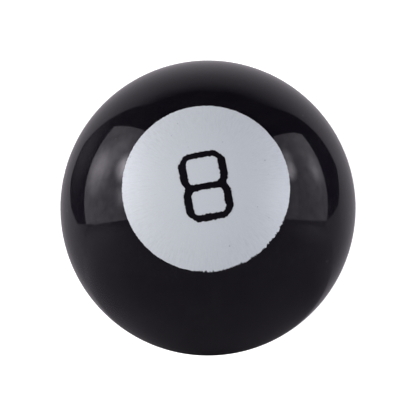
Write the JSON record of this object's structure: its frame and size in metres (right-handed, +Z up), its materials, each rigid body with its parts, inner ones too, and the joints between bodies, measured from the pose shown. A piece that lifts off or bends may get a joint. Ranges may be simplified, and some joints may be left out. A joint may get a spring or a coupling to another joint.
{
  "type": "fortune-telling ball",
  "caption": "Hollow black plastic ball with a printed eight on a white disc, a window in its base, and a floating answer die in a sealed chamber of dyed liquid.",
  "frame": {"origin": "middle of the flat base ring that the ball stands on", "axes": "+Z up along the ball's axis, from the window in the base to the printed number on the crown; +Y is the numeral's upright direction"},
  "size_m": [0.1016, 0.1016, 0.0957],
  "materials": {
    "black_plastic": "gloss",
    "white_ink": "satin",
    "black_ink": "satin",
    "clear_plastic": "polished",
    "chamber_plastic": "satin",
    "funnel_plastic": "satin",
    "cap_plastic": "satin",
    "seal_rubber": "matte",
    "plug_rubber": "matte",
    "die_plastic": "satin",
    "blue_liquid": "polished"
  },
  "bodies": {
    "housing": {"upper_shell": "black_plastic", "lower_shell": "black_plastic", "number_disc": "white_ink", "numeral_eight": "black_ink", "window": "clear_plastic", "window_seal": "seal_rubber", "reservoir": "chamber_plastic", "bubble_funnel": "funnel_plastic", "reservoir_cap": "cap_plastic", "cap_seal": "seal_rubber", "fill_plug": "plug_rubber"},
    "liquid": {"dyed_liquid": "blue_liquid"},
    "die": {"die_lower_half": "die_plastic", "die_upper_half": "die_plastic"}
  },
  "joints": [
    {"name": "liquid_swirl", "type": "hinge", "parent": "housing", "child": "liquid", "pos_m": [0, 0, 0.035], "axis": [0, 0, 1], "continuous": true},
    {"name": "die_float", "type": "slide", "parent": "liquid", "child": "die", "axis": [0, 0, 1], "range_m": [0, 0.0195], "deforming": ["dyed_liquid"]}
  ]
}
